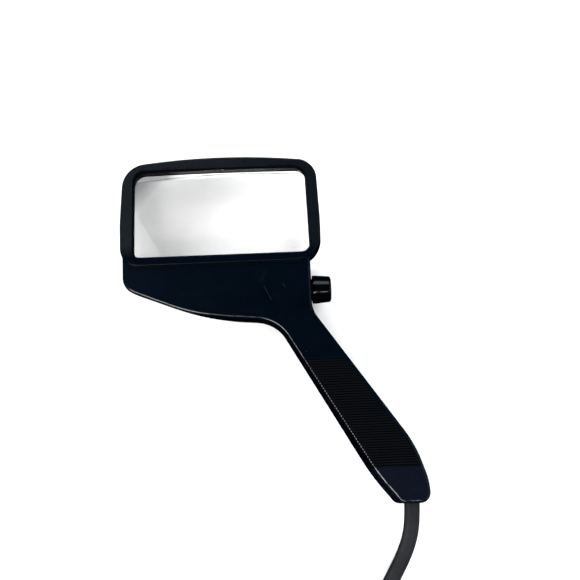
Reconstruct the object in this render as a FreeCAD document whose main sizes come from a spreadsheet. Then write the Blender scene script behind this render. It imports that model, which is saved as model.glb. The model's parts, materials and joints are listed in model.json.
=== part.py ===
# Illuminated low vision magnifier: a rectangular 2 x 4 inch lens in a raised bezel, a lamp
# housing (the chin) below it, a ribbed handle, a rotary switch knob and a flat mains cord.
#
# Frame: millimetres, +Z up. The magnifier lies on its flat back at z = 0, with the lens axis
# along Z, the lens's long side along X and the handle pointing towards -Y and +X. The origin
# is at the bottom centre of the magnifier without its cord. Outlines are drawn from the
# centre of the lens, and every sub-part is then placed by lens_x and lens_y.
import FreeCAD, Part
import os
import math
import Sketcher

os.makedirs("parts", exist_ok=True)
V = FreeCAD.Vector
doc = FreeCAD.newDocument("magnifier")
sheet = doc.addObject("Spreadsheet::Sheet", "dims")


class Cell:
    """A number together with the spreadsheet expression that gives it."""

    def __init__(self, value, text):
        self.v = float(value)
        self.t = text

    def __add__(self, o):
        o = cell(o)
        return Cell(self.v + o.v, "(%s + %s)" % (self.t, o.t))

    def __radd__(self, o):
        return cell(o) + self

    def __sub__(self, o):
        o = cell(o)
        return Cell(self.v - o.v, "(%s - %s)" % (self.t, o.t))

    def __rsub__(self, o):
        return cell(o) - self

    def __mul__(self, o):
        o = cell(o)
        return Cell(self.v * o.v, "(%s * %s)" % (self.t, o.t))

    def __rmul__(self, o):
        return cell(o) * self

    def __truediv__(self, o):
        o = cell(o)
        return Cell(self.v / o.v, "(%s / %s)" % (self.t, o.t))

    def __neg__(self):
        return Cell(-self.v, "(0 - %s)" % self.t)


def cell(o):
    return o if isinstance(o, Cell) else Cell(o, repr(float(o)))


row_count = [0]


def dim(alias, value, note=""):
    row_count[0] += 1
    n = str(row_count[0])
    sheet.set("A" + n, alias)
    sheet.set("B" + n, repr(float(value)))
    sheet.set("C" + n, note)
    sheet.setAlias("B" + n, alias)
    return Cell(value, "dims." + alias)


# ---- driving dimensions ---------------------------------------------------------------
lens_x = dim("lens_x", -25.93, "lens centre in the part's frame")
lens_y = dim("lens_y", 65.47, "lens centre in the part's frame")
part_z = dim("part_z", 13.0, "parting plane of the two shells, and height of lamp and knob axes")
face_z = dim("face_z", 26.0, "outer face of chin and handle")
bezel_z = dim("bezel_z", 29.2, "top of the raised bezel")
wall = dim("wall", 2.3, "shell wall")
floor_t = dim("floor_t", 2.2, "shell thickness in Z")
draft = dim("draft", 3.0, "draft of the moulded walls, degrees")
edge_r = dim("edge_r", 1.7, "rounding of the face edge of chin and handle")
back_r = dim("back_r", 2.6, "rounding of the back edge")
bezel_r = dim("bezel_r", 1.2, "rounding of the bezel's outer top edge")
bezel_c = dim("bezel_c", 0.8, "chamfer of the bezel's inner top edge")
lens_w = dim("lens_w", 101.6, "lens width, 4 inches")
lens_h = dim("lens_h", 50.8, "lens height, 2 inches")
lens_r = dim("lens_r", 6.0, "lens corner radius")
lens_t = dim("lens_t", 11.0, "lens centre thickness")
lens_rad = dim("lens_rad", 322.0, "radius of both lens surfaces")
lens_mid = dim("lens_mid", 20.0, "height of the lens's middle plane")
well_gap = dim("well_gap", 0.3, "gap between lens edge and its well")
ledge_z = dim("ledge_z", 14.6, "height of the ledge that carries the lens gasket")
gasket_w = dim("gasket_w", 2.0, "width of the lens gasket")
rib_pitch = dim("rib_pitch", 1.36, "pitch of the grip's ribs")
rib_gap = dim("rib_gap", 0.70, "width of the groove between two ribs")
rib_deep = dim("rib_deep", 0.7, "depth of the grooves")
knob_y = dim("knob_y", -43.7, "knob and switch axis, from the lens centre")
wall_x = dim("wall_x", 49.0, "outer face of the chin's side wall, from the lens centre")
knob_gap = dim("knob_gap", 0.6, "gap between knob and wall")
knob_len = dim("knob_len", 10.2, "knob length")
knob_d = dim("knob_d", 15.8, "knob diameter at its collar")
knob_body = dim("knob_body", 15.0, "knob diameter behind the collar")
knob_tip = dim("knob_tip", 14.4, "knob diameter at its tip")
knob_rec = dim("knob_rec", 13.4, "recess over the switch nut")
knob_rec_d = dim("knob_rec_d", 3.4, "depth of that recess")
shaft_d = dim("shaft_d", 5.0, "switch shaft")
shaft_gap = dim("shaft_gap", 0.05, "radial running clearance of the shaft")
bush_d = dim("bush_d", 9.0, "switch bushing")
switch_d = dim("switch_d", 20.0, "switch body diameter")
switch_x = dim("switch_x", 28.0, "left end of the switch body")
lamp_y = dim("lamp_y", -40.5, "lamp axis, from the lens centre")
lamp_d = dim("lamp_d", 14.3, "lamp globe diameter")
lamp_tip = dim("lamp_tip", -26.0, "tip of the lamp globe")
cap_x = dim("cap_x", 4.0, "start of the lamp's screw cap")
cap_d = dim("cap_d", 11.7, "candelabra screw cap")
socket_d = dim("socket_d", 17.5, "lamp socket diameter")
refl_d = dim("refl_d", 17.0, "reflector inside diameter")
sheet_t = dim("sheet_t", 0.5, "thickness of sheet metal parts")
screw_d = dim("screw_d", 2.9, "housing screw thread diameter")
screw_head = dim("screw_head", 5.4, "housing screw head diameter")
boss_d = dim("boss_d", 6.2, "screw boss diameter")
cord_w = dim("cord_w", 8.2, "cord width")
cord_t = dim("cord_t", 4.2, "cord thickness")
cord_x = dim("cord_x", 98.0, "cord exit, from the lens centre")
cord_y = dim("cord_y", -161.6, "face of the handle's end, from the lens centre")
wire_d = dim("wire_d", 2.2, "insulated conductor diameter")
coil_x = dim("coil_x", 19.0, "coil centre, from the lens centre")
coil_y = dim("coil_y", -278.0, "coil centre, from the lens centre")
coil_mid = dim("coil_mid", 46.5, "middle radius of the coil's turns")
coil_band = dim("coil_band", 29.4, "radial width of the coil")
coil_h = dim("coil_h", 8.6, "height of the coil's two layers")
tie_t = dim("tie_t", 0.6, "thickness of the cord tie")
doc.recompute()

parts = []


def bind(obj, prop, value):
    """Set a property from a cell expression, or from a plain number."""
    value = cell(value)
    setattr(obj, prop, value.v)
    if "dims." in value.t:
        obj.setExpression(prop, value.t)


def place(obj, x=0.0, y=0.0, z=0.0, rot=None):
    """Place a sub-part: coordinates are from the lens centre in X and Y."""
    x, y, z = cell(x) + lens_x, cell(y) + lens_y, cell(z)
    obj.Placement = FreeCAD.Placement(V(x.v, y.v, z.v), rot or FreeCAD.Rotation())
    for axis, c in (("x", x), ("y", y), ("z", z)):
        obj.setExpression("Placement.Base." + axis, c.t)


def put(obj, x=0.0, y=0.0, z=0.0, rot=None):
    """Place a primitive inside a boolean, without the lens offset."""
    x, y, z = cell(x), cell(y), cell(z)
    obj.Placement = FreeCAD.Placement(V(x.v, y.v, z.v), rot or FreeCAD.Rotation())
    for axis, c in (("x", x), ("y", y), ("z", z)):
        if "dims." in c.t:
            obj.setExpression("Placement.Base." + axis, c.t)
    return obj


ROT_X = FreeCAD.Rotation(V(0, 1, 0), 90)      # a primitive's axis turned from Z to X
ROT_Y = FreeCAD.Rotation(V(1, 0, 0), -90)     # a primitive's axis turned from Z to Y


def keep(obj, name):
    obj.Label = name
    parts.append((name, obj))
    return obj


# ---- outlines of straight sides and tangent corner arcs --------------------------------
def inset(poly, amount):
    """Move every side of a counter-clockwise outline inwards; corner radii follow."""
    n = len(poly)
    out = []
    for i in range(n):
        (ax, ay, _), (bx, by, br), (cx, cy, _) = poly[i - 1], poly[i], poly[(i + 1) % n]
        d1 = V(bx - ax, by - ay, 0).normalize()
        d2 = V(cx - bx, cy - by, 0).normalize()
        n1, n2 = V(-d1.y, d1.x, 0), V(-d2.y, d2.x, 0)
        cross = d1.x * d2.y - d1.y * d2.x
        if abs(cross) < 1e-6:
            p = V(bx, by, 0) + n1 * amount
        else:
            a, b = V(ax, ay, 0) + n1 * amount, V(bx, by, 0) + n2 * amount
            w = b - a
            s = (w.x * d2.y - w.y * d2.x) / cross
            p = a + d1 * s
        r = br - amount if cross > 0 else br + amount
        out.append((p.x, p.y, max(r, 0.4)))
    return out


def rounded(poly):
    """Turn corners (x, y, radius) into lines and arcs: a list of 2 or 3 point tuples."""
    n = len(poly)
    cuts = []
    for i in range(n):
        (ax, ay, _), (bx, by, r), (cx, cy, _) = poly[i - 1], poly[i], poly[(i + 1) % n]
        p, q = V(ax - bx, ay - by, 0), V(cx - bx, cy - by, 0)
        p.normalize()
        q.normalize()
        half = p.getAngle(q) / 2.0
        t = r / math.tan(half)
        b = V(bx, by, 0)
        mid = (p + q)
        mid.normalize()
        c = b + mid * (r / math.sin(half))
        cuts.append((b + p * t, c - mid * r, b + q * t))
    segs = []
    for i in range(n):
        s, m, e = cuts[i]
        segs.append((s, m, e))
        nxt = cuts[(i + 1) % n][0]
        if e.distanceToPoint(nxt) > 1e-4:
            segs.append((e, nxt))
    return segs


def check_runs(name, poly):
    n = len(poly)
    for i in range(n):
        (ax, ay, ar), (bx, by, br) = poly[i], poly[(i + 1) % n]

        def need(j):
            (px, py, _), (qx, qy, r), (sx, sy, _) = poly[j - 1], poly[j], poly[(j + 1) % n]
            half = V(px - qx, py - qy, 0).getAngle(V(sx - qx, sy - qy, 0)) / 2.0
            return r / math.tan(half)
        length = math.hypot(bx - ax, by - ay)
        used = need(i) + need((i + 1) % n)
        if used > length + 1e-6:
            raise SystemExit("%s: side %d is %.2f long, its corners need %.2f"
                             % (name, i, length, used))


def flat_wire(segs, z=0.0):
    edges = []
    for s in segs:
        pts = [V(p.x, p.y, z) for p in s]
        if len(pts) == 2:
            edges.append(Part.LineSegment(*pts).toShape())
        else:
            edges.append(Part.Arc(*pts).toShape())
    return Part.Wire(edges)


# ---- sketch and feature helpers --------------------------------------------------------
def new_body(name):
    body = doc.addObject("PartDesign::Body", name)
    return body


def plane(body, role):
    for f in body.Origin.OriginFeatures:
        if f.Role == role:
            return f
    raise SystemExit("no plane " + role)


def new_sketch(body, name, role="XY_Plane", offset=None):
    sk = body.newObject("Sketcher::SketchObject", name)
    sk.AttachmentSupport = [(plane(body, role), "")]
    sk.MapMode = "FlatFace"
    if offset is not None:
        offset = cell(offset)
        sk.AttachmentOffset = FreeCAD.Placement(V(0, 0, offset.v), FreeCAD.Rotation())
        if "dims." in offset.t:
            sk.setExpression("AttachmentOffset.Base.z", offset.t)
    return sk


def draw(sk, segs):
    first = sk.GeometryCount
    for s in segs:
        if len(s) == 2:
            sk.addGeometry(Part.LineSegment(s[0], s[1]), False)
        else:
            sk.addGeometry(Part.Arc(s[0], s[1], s[2]), False)
    return first


def draw_poly(sk, pts):
    """A closed polygon whose corners are held by distances bound to the sheet."""
    pts = [(cell(a), cell(b)) for a, b in pts]
    n = len(pts)
    base = sk.GeometryCount
    for i in range(n):
        a, b = pts[i], pts[(i + 1) % n]
        sk.addGeometry(Part.LineSegment(V(a[0].v, a[1].v, 0), V(b[0].v, b[1].v, 0)), False)
    for i in range(n):
        sk.addConstraint(Sketcher.Constraint("Coincident", base + i, 2, base + (i + 1) % n, 1))
    for i in range(n):
        for kind, c in (("DistanceX", pts[i][0]), ("DistanceY", pts[i][1])):
            if abs(c.v) < 1e-9:
                k = sk.addConstraint(Sketcher.Constraint(
                    "PointOnObject", base + i, 1, -2 if kind == "DistanceX" else -1))
                continue
            k = sk.addConstraint(Sketcher.Constraint(kind, -1, 1, base + i, 1, c.v))
            if "dims." in c.t:
                sk.setExpression("Constraints[%d]" % k, c.t)
    return base


def draw_circle(sk, x, y, r):
    x, y, r = cell(x), cell(y), cell(r)
    g = sk.addGeometry(Part.Circle(V(x.v, y.v, 0), V(0, 0, 1), r.v), False)
    k = sk.addConstraint(Sketcher.Constraint("Radius", g, r.v))
    if "dims." in r.t:
        sk.setExpression("Constraints[%d]" % k, r.t)
    for kind, c in (("DistanceX", x), ("DistanceY", y)):
        if abs(c.v) < 1e-9:
            sk.addConstraint(Sketcher.Constraint("PointOnObject", g, 3,
                                                 -2 if kind == "DistanceX" else -1))
            continue
        k = sk.addConstraint(Sketcher.Constraint(kind, -1, 1, g, 3, c.v))
        if "dims." in c.t:
            sk.setExpression("Constraints[%d]" % k, c.t)
    return g


def pad(body, sk, length, name, taper=None, reverse=False):
    p = body.newObject("PartDesign::Pad", name)
    p.Profile = sk
    bind(p, "Length", length)
    p.Reversed = reverse
    if taper is not None:
        bind(p, "TaperAngle", taper)
    doc.recompute()
    return p


def pocket(body, sk, length, name, reverse=False, taper=None, less=True):
    before = body.Shape.Volume
    p = body.newObject("PartDesign::Pocket", name)
    p.Profile = sk
    bind(p, "Length", length)
    p.Reversed = reverse
    if taper is not None:
        bind(p, "TaperAngle", taper)
    doc.recompute()
    if less and not body.Shape.Volume < before - 0.05:
        raise SystemExit("pocket %s cut nothing" % name)
    return p


def loft(body, kind, lower, upper, name):
    """A straight-sided loft from one outline to another with as many corners."""
    p = body.newObject("PartDesign::" + kind + "Loft", name)
    p.Profile = lower
    p.Sections = [upper]
    p.Ruled = True
    doc.recompute()
    return p


def edges_at(shape, test):
    names = []
    for i, e in enumerate(shape.Edges, 1):
        pts = [e.valueAt(e.FirstParameter + (e.LastParameter - e.FirstParameter) * k / 4.0)
               for k in range(5)]
        if all(test(p) for p in pts):
            names.append("Edge%d" % i)
    return names


def dress(body, kind, base, names, size, label):
    f = body.newObject("PartDesign::" + kind, label)
    f.Base = (base, names)
    bind(f, "Radius" if kind == "Fillet" else "Size", size)
    doc.recompute()
    return f


def turned(name, profile, x=0.0, y=0.0, z=0.0):
    """A body of revolution about an axis along X: profile corners are (x, radius)."""
    body = new_body(name)
    sk = new_sketch(body, name + "_profile", "XZ_Plane")
    draw_poly(sk, profile)
    rev = body.newObject("PartDesign::Revolution", name + "_turn")
    rev.Profile = sk
    rev.ReferenceAxis = (sk, ["H_Axis"])
    rev.Angle = 360.0
    doc.recompute()
    place(body, x, y, z)
    return keep(body, name)


def boolean(kind, name, base, tools):
    o = doc.addObject("Part::" + kind, name)
    if kind == "Cut":
        o.Base, o.Tool = base, tools
    else:
        o.Shapes = [base] + list(tools)
    return o


def cyl(name, r, length, x=0.0, y=0.0, z=0.0, rot=None):
    c = doc.addObject("Part::Cylinder", name)
    bind(c, "Radius", r)
    bind(c, "Height", length)
    return put(c, x, y, z, rot)


def box(name, sx, sy, sz, x=0.0, y=0.0, z=0.0, rot=None):
    b = doc.addObject("Part::Box", name)
    bind(b, "Length", sx)
    bind(b, "Width", sy)
    bind(b, "Height", sz)
    return put(b, x, y, z, rot)


def set_shape(name, shape, x=0.0, y=0.0, rot=None):
    """A sub-part whose shape is worked out here from the sheet's numbers."""
    f = doc.addObject("Part::Feature", name)
    f.Shape = shape
    place(f, x, y, 0.0, rot)
    return keep(f, name)


# ---- outlines, counter-clockwise, from the lens centre ---------------------------------
# Head: slightly bulged top, sides that widen towards the chin.
HEAD = [(-55.3, -30.3, 11.0), (55.2, -30.2, 15.0), (55.6, -6.0, 60.0), (54.3, 27.3, 12.0),
        (0.0, 32.3, 380.0), (-53.1, 27.3, 14.5), (-55.3, -6.0, 60.0)]
# Chin and handle at the parting plane; the front shell's upper side lies inside the head.
LOWER = [(-54.9, -40.3, 9.0), (-16.0, -55.6, 130.0), (4.9, -59.5, 120.0), (28.3, -61.5, 20.0),
         (76.8, -146.2, 120.0), (89.1, -161.6, 4.5), (107.3, -161.6, 6.0), (107.0, -149.3, 40.0),
         (100.7, -129.9, 63.0), (49.0, -55.8, 15.0)]
# The same outline at the face: it overhangs a little along the chin and leans in along the handle.
FACE = [(-53.9, -41.3, 9.5), (-18.1, -56.1, 85.0), (3.1, -58.9, 120.0), (29.4, -61.3, 21.0),
        (79.4, -145.6, 100.0), (91.4, -160.3, 3.5), (106.75, -160.3, 5.4), (106.35, -149.4, 34.0),
        (100.05, -130.1, 63.0), (48.5, -56.1, 15.0)]
FRONT = [(-54.8, -12.0, 3.0)] + LOWER + [(49.0, -12.0, 3.0)]
FRONT_FACE = [(-53.9, -12.0, 3.0)] + FACE + [(48.5, -12.0, 3.0)]
BACK = [(-54.8, -27.6, 5.0)] + LOWER + [(49.0, -27.6, 5.0)]
for nm, pl in (("HEAD", HEAD), ("FRONT", FRONT), ("FRONT_FACE", FRONT_FACE), ("BACK", BACK)):
    check_runs(nm, pl)

CAVITY = inset([(-54.8, -27.3, 5.0)] + LOWER + [(49.0, -27.3, 5.0)], wall.v)
CAVITY_FACE = inset([(-53.9, -27.3, 5)] + FACE[:-1] + [(49.0, -56.1, 15), (49.0, -27.3, 5)], wall.v)
SCREWS = [(-46.5, -35.6), (28.2, -57.6), (58.6, -98.0), (84.6, -144.0)]


def rect(x0, y0, x1, y1):
    return [(x0, y0), (x1, y0), (x1, y1), (x0, y1)]


# ---- front shell: lens frame, chin face and upper half of the handle --------------------
b = new_body("front_shell")
sk = new_sketch(b, "front_core_outline", "XY_Plane", part_z)
draw(sk, rounded([(-40, -44, 2), (30, -44, 2), (30, -20, 2), (-40, -20, 2)]))
pad(b, sk, face_z - part_z - floor_t, "front_core")
sk = new_sketch(b, "front_outline", "XY_Plane", part_z)
draw(sk, rounded(FRONT))
up = new_sketch(b, "front_face_outline", "XY_Plane", face_z)
draw(up, rounded(FRONT_FACE))
p1 = loft(b, "Additive", sk, up, "front_loft")
top = edges_at(p1.Shape, lambda p: abs(p.z - face_z.v) < 1e-3)
dress(b, "Fillet", p1, top, edge_r, "front_edge")
sk = new_sketch(b, "head_outline", "XY_Plane", part_z)
draw(sk, rounded(HEAD))
pad(b, sk, face_z - part_z, "head_pad", -draft)
sk = new_sketch(b, "front_cavity_outline", "XY_Plane", part_z)
draw(sk, rounded(CAVITY))
up = new_sketch(b, "front_cavity_top", "XY_Plane", face_z - floor_t)
draw(up, rounded(CAVITY_FACE))
loft(b, "Subtractive", sk, up, "front_cavity")
sk = new_sketch(b, "lens_well_outline", "XY_Plane", face_z)
hw, hh, rr = lens_w.v / 2 + well_gap.v, lens_h.v / 2 + well_gap.v, lens_r.v
draw(sk, rounded([(-hw, -hh, rr), (hw, -hh, rr), (hw, hh, rr), (-hw, hh, rr)]))
pocket(b, sk, face_z - ledge_z, "lens_well")
sk = new_sketch(b, "window_outline", "XY_Plane", face_z)
OPEN = [(-48.2, -24.5, 4.5), (48.7, -24.5, 4.5), (47.5, 24.0, 6.5), (-47.2, 24.0, 6.5)]
draw(sk, rounded(OPEN))
pocket(b, sk, face_z, "lens_window")
# screw bosses that stand down from the inside of the face
sk = new_sketch(b, "boss_outline", "XY_Plane", part_z)
for x, y in SCREWS:
    draw_circle(sk, x, y, boss_d / 2)
pad(b, sk, face_z - floor_t / 2 - part_z, "front_bosses")
sk = new_sketch(b, "pilot_outline", "XY_Plane", part_z)
for x, y in SCREWS:
    draw_circle(sk, x, y, screw_d / 2 - 0.15)
pocket(b, sk, 8.0, "pilot_holes", reverse=True)
# holes for the bezel screws: clearance hole and counterbore from below
BZ = [(-14.0, 27.7), (14.0, 27.7), (-14.0, -27.6), (14.0, -27.6)]
sk = new_sketch(b, "bezel_hole_outline", "XY_Plane", part_z)
for x, y in BZ:
    draw_circle(sk, x, y, 1.05)
pocket(b, sk, face_z - part_z, "bezel_holes", reverse=True)
sk = new_sketch(b, "bezel_bore_outline", "XY_Plane", part_z)
for x, y in BZ:
    draw_circle(sk, x, y, 1.75)
pocket(b, sk, 2.0, "bezel_bores", reverse=True)
# upper half of the hole for the switch bushing, and of the slot for the cord
sk = new_sketch(b, "bushing_outline", "YZ_Plane", wall_x - 4)
draw_circle(sk, knob_y, part_z, bush_d / 2 + 0.1)
pocket(b, sk, 6.0, "bushing_hole", reverse=True)
sk = new_sketch(b, "cord_slot_outline", "XZ_Plane", 165)
draw_poly(sk, rect(cord_x - cord_w / 2 - 0.1, part_z - 1, cord_x + cord_w / 2 + 0.1,
                   part_z + cord_t / 2 + 0.1))
pocket(b, sk, 8.0, "cord_slot", reverse=False)
# grip: fine grooves across the handle, parallel to the lens's long side
sk = new_sketch(b, "rib_outline", "XY_Plane", face_z)
RIBS = 43
for i in range(RIBS):
    y = -83.2 - i * rib_pitch.v
    f = i / (RIBS - 1.0)
    xl = 42.9 + 34.2 * f
    down = max(-120.3 - y, 0.0)
    xr = 53.6 - (67.55 + y) * 0.6976 - 0.0092 * down * down
    g = rib_gap.v / 2
    draw(sk, [(V(xl, y - g, 0), V(xr, y - g, 0)),
              (V(xr, y - g, 0), V(xr + g, y, 0), V(xr, y + g, 0)),
              (V(xr, y + g, 0), V(xl, y + g, 0)),
              (V(xl, y + g, 0), V(xl - g, y, 0), V(xl, y - g, 0))])
pocket(b, sk, rib_deep, "rib_grooves")
place(b)
keep(b, "front_shell")

# ---- rear shell: back of chin and handle ------------------------------------------------
b = new_body("rear_shell")
sk = new_sketch(b, "rear_outline", "XY_Plane", part_z)
draw(sk, rounded(BACK))
p1 = pad(b, sk, part_z, "rear_pad", -draft, reverse=True)
low = edges_at(p1.Shape, lambda p: abs(p.z) < 1e-3)
dress(b, "Fillet", p1, low, back_r, "rear_edge")
sk = new_sketch(b, "rear_cavity_outline", "XY_Plane", part_z)
draw(sk, rounded(inset(CAVITY, 0.25)))
pocket(b, sk, part_z - floor_t, "rear_cavity")
sk = new_sketch(b, "rear_boss_outline", "XY_Plane", part_z)
for x, y in SCREWS:
    draw_circle(sk, x, y, boss_d / 2)
pad(b, sk, part_z - floor_t / 2, "rear_bosses", reverse=True)
sk = new_sketch(b, "clamp_post_outline", "XY_Plane", part_z)
draw_circle(sk, 90.9, -152.6, 2.2)
pad(b, sk, part_z - floor_t / 2, "clamp_post", reverse=True)
sk = new_sketch(b, "clamp_pilot_outline", "XY_Plane", part_z)
draw_circle(sk, 90.9, -152.6, 1.15)
pocket(b, sk, 6.5, "clamp_pilot")
sk = new_sketch(b, "screw_hole_outline", "XY_Plane", 0.0)
for x, y in SCREWS:
    draw_circle(sk, x, y, screw_d / 2 + 0.2)
pocket(b, sk, part_z, "screw_holes", reverse=True)
sk = new_sketch(b, "screw_bore_outline", "XY_Plane", 0.0)
for x, y in SCREWS:
    draw_circle(sk, x, y, screw_head / 2 + 0.2)
pocket(b, sk, 3.0, "screw_bores", reverse=True)
sk = new_sketch(b, "rear_bushing_outline", "YZ_Plane", wall_x - 4)
draw_circle(sk, knob_y, part_z, bush_d / 2 + 0.1)
pocket(b, sk, 6.0, "rear_bushing_hole", reverse=True)
sk = new_sketch(b, "rear_cord_outline", "XZ_Plane", 165)
draw_poly(sk, rect(cord_x - cord_w / 2 - 0.1, part_z - cord_t / 2 - 0.1,
                   cord_x + cord_w / 2 + 0.1, part_z + 1))
pocket(b, sk, 8.0, "rear_cord_slot", reverse=False)
# light opening in the wall that faces the space under the lens
sk = new_sketch(b, "light_outline", "XZ_Plane", 24.0)
draw_poly(sk, rect(-40.0, 3.6, 8.0, 11.6))
pocket(b, sk, 8.0, "light_opening", reverse=True)
place(b)
keep(b, "rear_shell")

# ---- lens, its rubber seat and the bezel that holds it ----------------------------------
def outline_body(name, poly, z0, height, label):
    body = new_body(name)
    k = new_sketch(body, name + "_outline", "XY_Plane", z0)
    draw(k, rounded(poly))
    pad(body, k, height, label)
    return body


def lens_sphere(name, z, grow=0.0):
    o = doc.addObject("Part::Sphere", name)
    bind(o, "Radius", lens_rad + grow)
    return put(o, 0, 0, z)


hw, hh, rr = lens_w.v / 2, lens_h.v / 2, lens_r.v
LENS = [(-hw, -hh, rr), (hw, -hh, rr), (hw, hh, rr), (-hw, hh, rr)]
blank = outline_body("lens_blank", LENS, lens_mid - 9, 18.0, "lens_blank_pad")
lens = boolean("MultiCommon", "lens", blank,
               [lens_sphere("lens_top", lens_mid + lens_t / 2 - lens_rad),
                lens_sphere("lens_bottom", lens_mid - lens_t / 2 + lens_rad)])
doc.recompute()
place(lens)
keep(lens, "lens")

ring = outline_body("gasket_blank", inset(LENS, 0.1), ledge_z, 5.4, "gasket_pad")
k = new_sketch(ring, "gasket_hole", "XY_Plane", ledge_z)
draw(k, rounded(inset(OPEN, -0.2)))
pocket(ring, k, 8.0, "gasket_opening", reverse=True)
gasket = boolean("Cut", "lens_gasket", ring,
                 lens_sphere("gasket_top", lens_mid - lens_t / 2 + lens_rad, 0.05))
doc.recompute()
place(gasket)
keep(gasket, "lens_gasket")

slope = (face_z.v - part_z.v) * math.tan(math.radians(draft.v))
b = new_body("bezel_blank")
k = new_sketch(b, "bezel_outline", "XY_Plane", face_z)
draw(k, rounded(inset(HEAD, slope + 0.05)))
p1 = pad(b, k, bezel_z - face_z, "bezel_pad")
rim = edges_at(p1.Shape, lambda p: abs(p.z - bezel_z.v) < 1e-3)
dress(b, "Fillet", p1, rim, bezel_r, "bezel_edge")
k = new_sketch(b, "bezel_lip_outline", "XY_Plane", face_z)
draw(k, rounded(inset(LENS, -0.1)))
pad(b, k, 6.5, "bezel_lip", reverse=True)
k = new_sketch(b, "bezel_hole", "XY_Plane", bezel_z)
draw(k, rounded(OPEN))
p2 = pocket(b, k, 14.0, "bezel_opening")
rim = edges_at(p2.Shape, lambda p: abs(p.z - bezel_z.v) < 1e-3 and abs(p.x) < 49.5 and abs(p.y) < 25.5)
dress(b, "Chamfer", p2, rim, bezel_c, "bezel_bevel")
k = new_sketch(b, "bezel_pilot", "XY_Plane", face_z)
for x, y in BZ:
    draw_circle(k, x, y, 1.0)
pocket(b, k, 2.2, "bezel_pilots", reverse=True)
bezel = boolean("Cut", "lens_bezel", b,
                lens_sphere("bezel_under", lens_mid + lens_t / 2 - lens_rad, 0.05))
doc.recompute()
place(bezel)
keep(bezel, "lens_bezel")


# ---- screws: head, shank and cross recess ----------------------------------------------
def screws(name, spots, z_head, head_r, head_h, shank_r, length, up=True):
    """Identical screws along Z; z_head is the outer face of the head."""
    sgn = 1 if up else -1
    made = []
    for n, (x, y) in enumerate(spots, 1):
        tag = "%s_%d" % (name, n)
        zh = cell(z_head)
        lo = zh if up else zh - head_h
        head = cyl(tag + "_head", head_r, head_h, x, y, lo)
        sh = cyl(tag + "_shank", shank_r, length, x, y,
                 zh + head_h if up else zh - head_h - length)
        both = boolean("MultiFuse", tag + "_fuse", head, [sh])
        w = cell(head_r).v
        d = 0.8
        z0 = zh - 0.01 if up else zh - d + 0.01
        s1 = box(tag + "_slot_a", w * 1.1, 0.5, d, x - w * 0.55, y - 0.25, z0)
        s2 = box(tag + "_slot_b", 0.5, w * 1.1, d, x - 0.25, y - w * 0.55, z0)
        cross = boolean("MultiFuse", tag + "_cross", s1, [s2])
        made.append(boolean("Cut", tag, both, cross))
    g = doc.addObject("Part::Compound", name)
    g.Links = made
    doc.recompute()
    place(g)
    return keep(g, name)


screws("housing_screws", SCREWS, 1.2, screw_head / 2, 1.7, screw_d / 2 - 0.15, 16.0)
screws("bezel_screws", BZ, 13.3, 1.6, 1.4, 0.98, 13.2)

# ---- light window and reflector --------------------------------------------------------
w = box("light_window", 50.0, 1.5, 9.8, 0, 0, 0)
place(w, -41.0, -31.45, 2.6)
keep(w, "light_window")
outer = cyl("refl_outer", refl_d / 2 + sheet_t, 23.0, -21.0, lamp_y, part_z, ROT_X)
inner = cyl("refl_inner", refl_d / 2, 25.0, -22.0, lamp_y, part_z, ROT_X)
tube = boolean("Cut", "refl_tube", outer, inner)
gap = box("refl_gap", 25.0, 12.0, 14.0, -22.0, lamp_y + 1.0, part_z - 8.6)
o = boolean("Cut", "reflector", tube, gap)
doc.recompute()
place(o)
keep(o, "reflector")

# ---- lamp ------------------------------------------------------------------------------
lr = lamp_d / 2
b = new_body("lamp_globe")
k = new_sketch(b, "globe_profile", "XZ_Plane")
draw_poly(k, [(lamp_tip, 0), (lamp_tip, lr), (cap_x - 5, lr), (cap_x - 1, 5.0), (cap_x + 1, 5.0),
              (cap_x + 1, 4.4), (cap_x - 1.3, 4.4), (cap_x - 5.3, lr - 0.6),
              (lamp_tip + 0.6, lr - 0.6), (lamp_tip + 0.6, 0)])
rev = b.newObject("PartDesign::Revolution", "globe_turn")
rev.Profile = k
rev.ReferenceAxis = (k, ["H_Axis"])
rev.Angle = 360.0
doc.recompute()


def ring_edges(shape, x, r):
    out = []
    for i, e in enumerate(shape.Edges, 1):
        c = e.Curve
        if hasattr(c, "Radius") and abs(c.Radius - r) < 1e-3 and abs(c.Center.x - x) < 1e-3:
            out.append("Edge%d" % i)
    return out


f = dress(b, "Fillet", rev, ring_edges(rev.Shape, lamp_tip.v, lr.v), 6.4, "globe_tip")
dress(b, "Fillet", f, ring_edges(f.Shape, lamp_tip.v + 0.6, lr.v - 0.6), 5.8, "globe_tip_inside")
place(b, 0, lamp_y, part_z)
keep(b, "lamp_globe")
cr = cap_d / 2
turned("lamp_cap", [(cap_x - 0.4, cr - 0.35), (cap_x - 0.4, cr), (cap_x + 11.5, cr),
                    (cap_x + 13.5, 3.4), (cap_x + 13.5, 3.05), (cap_x + 11.3, cr - 0.35)],
       0, lamp_y, part_z)
turned("lamp_insulator", [(cap_x + 12.4, 0), (cap_x + 12.4, 3.9), (cap_x + 13.5, 2.95),
                          (cap_x + 13.5, 0)], 0, lamp_y, part_z)
turned("lamp_contact", [(cap_x + 13.5, 0), (cap_x + 13.5, 1.9), (cap_x + 14.6, 1.2),
                        (cap_x + 14.6, 0)], 0, lamp_y, part_z)
turned("lamp_stem", [(cap_x - 7, 0), (cap_x - 7, 1.2), (cap_x - 1, 2.4), (cap_x + 1, 4.3),
                     (cap_x + 1, 0)], 0, lamp_y, part_z)

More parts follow.
